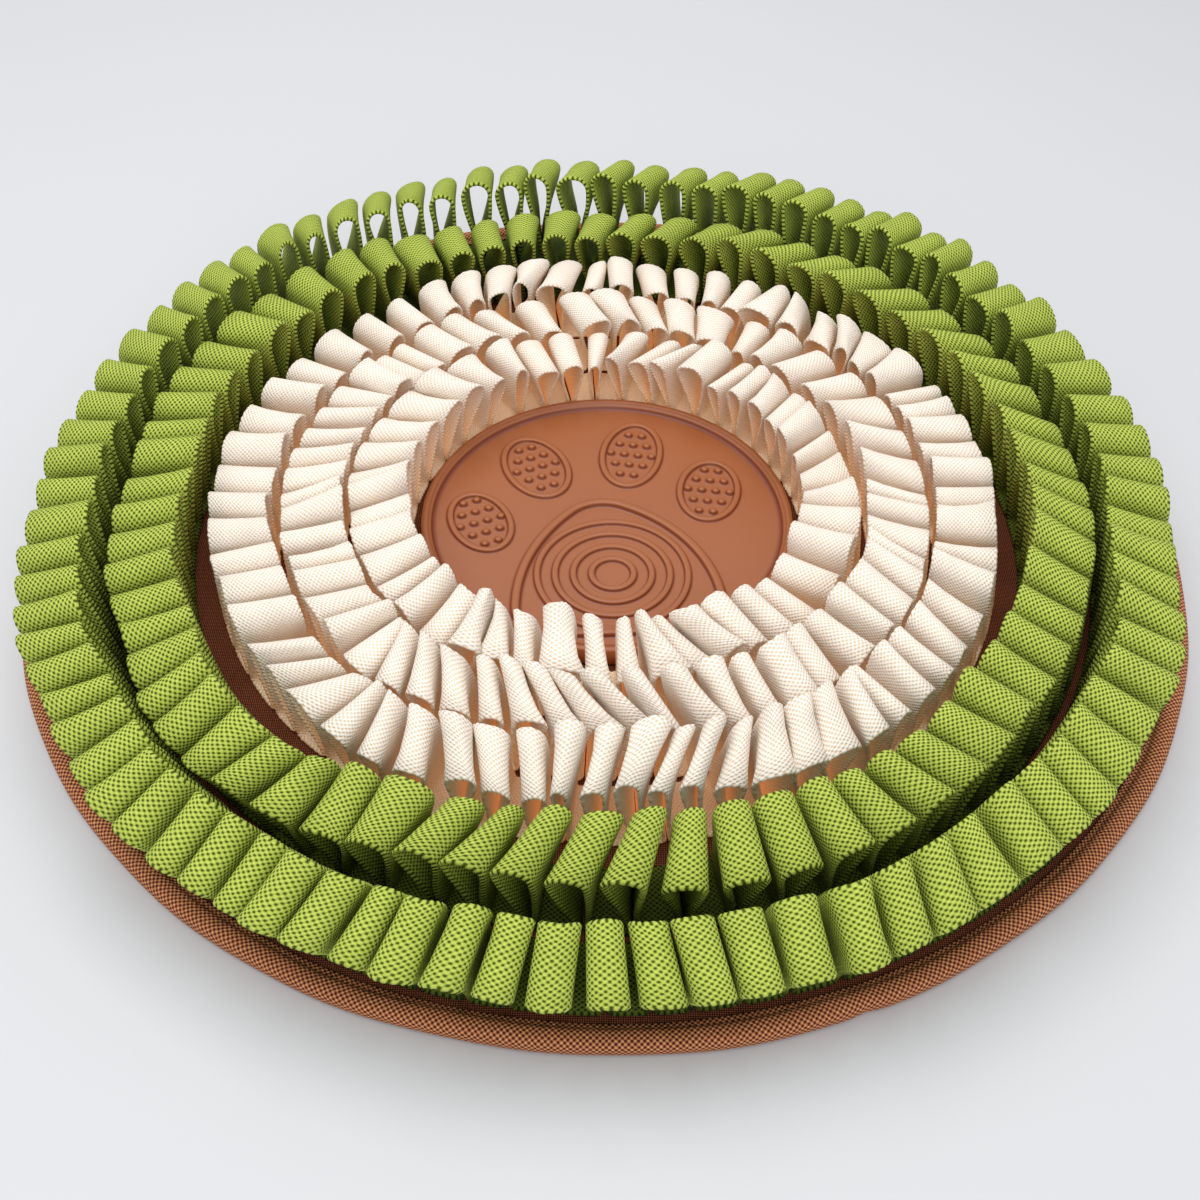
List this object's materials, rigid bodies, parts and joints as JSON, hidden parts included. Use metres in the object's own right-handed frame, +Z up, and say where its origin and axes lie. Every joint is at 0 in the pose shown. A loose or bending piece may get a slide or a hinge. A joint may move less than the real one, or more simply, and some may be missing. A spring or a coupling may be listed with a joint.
{
  "type": "snuffle mat",
  "caption": "Round cloth snuffle mat with a bound rim, rings of standing folded tape loops and a moulded lick pad in the middle.",
  "frame": {"origin": "middle of the cloth base's underside, on the surface the mat lies on", "axes": "+Z up out of the mat, +Y away from the viewer of the picture, +X to the viewer's right; the paw's toes point to +Y"},
  "size_m": [0.45, 0.4561, 0.0539],
  "materials": {
    "brown_cloth": "coarse plain weave, dark brown shot with rust",
    "green_tape": "soft basket-woven tape, leaf green",
    "cream_tape": "soft brushed woven tape, cream",
    "cocoa_silicone": "satin moulded silicone, milk-chocolate brown"
  },
  "bodies": {
    "root": {"base_mat": "brown_cloth", "edge_binding": "brown_cloth", "lick_pad": "cocoa_silicone", "outer_green_loops": "green_tape", "inner_green_loops": "green_tape", "outer_cream_loops": "cream_tape", "middle_cream_loops": "cream_tape", "inner_cream_loops": "cream_tape"}
  },
  "joints": []
}
